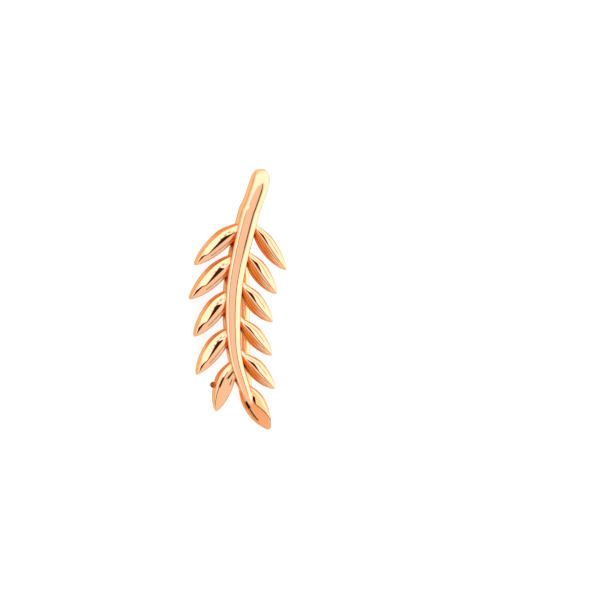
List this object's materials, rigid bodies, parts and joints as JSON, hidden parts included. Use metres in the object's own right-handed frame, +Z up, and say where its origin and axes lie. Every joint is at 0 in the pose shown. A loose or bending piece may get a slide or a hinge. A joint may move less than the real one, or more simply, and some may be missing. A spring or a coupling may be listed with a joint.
{
  "type": "ear climber",
  "caption": "Leaf sprig ear climber: a curved cast stem with leaves on both sides, and a soldered ear wire that goes through the piercing and holds it along the ear.",
  "frame": {"origin": "middle of its underside on the surface it lies on", "axes": "+Y along the sprig from the end leaf to the head, +Z up from the surface; the leaves' face looks up and towards -X"},
  "size_m": [0.007, 0.0202, 0.005],
  "materials": {
    "rose_gold": "polished rose gold, a little rough and darker between the leaves"
  },
  "bodies": {
    "root": {"ear_climber": "rose_gold"}
  },
  "joints": []
}
